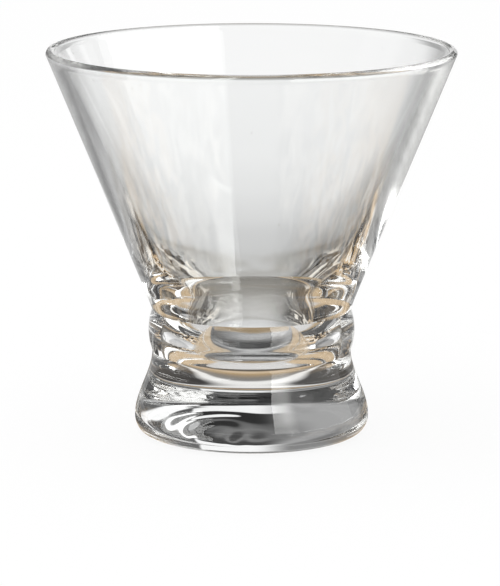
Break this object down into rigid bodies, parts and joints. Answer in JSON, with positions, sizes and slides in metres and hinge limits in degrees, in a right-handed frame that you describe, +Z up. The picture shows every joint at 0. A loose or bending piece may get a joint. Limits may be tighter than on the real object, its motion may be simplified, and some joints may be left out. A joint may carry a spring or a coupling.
{
  "type": "stemless martini glass",
  "caption": "Clear stemless cocktail glass: a straight-sided flared cone bowl with a short well at its bottom, a bulging collar at the waist and a heavy flared foot to stand on.",
  "frame": {"origin": "on the glass's axis, in the plane of the bearing ring that it stands on", "axes": "+Z up along the axis of revolution, from the foot to the rim; X and Y are free"},
  "size_m": [0.104, 0.104, 0.099],
  "materials": {
    "bowl_glass": "clear fire-polished glass with faint tooling lines",
    "collar_glass": "clear fire-polished glass, solid",
    "foot_glass": "clear fire-polished glass, heavy and solid"
  },
  "bodies": {
    "root": {"bowl": "bowl_glass", "collar": "collar_glass", "foot": "foot_glass"}
  },
  "joints": []
}
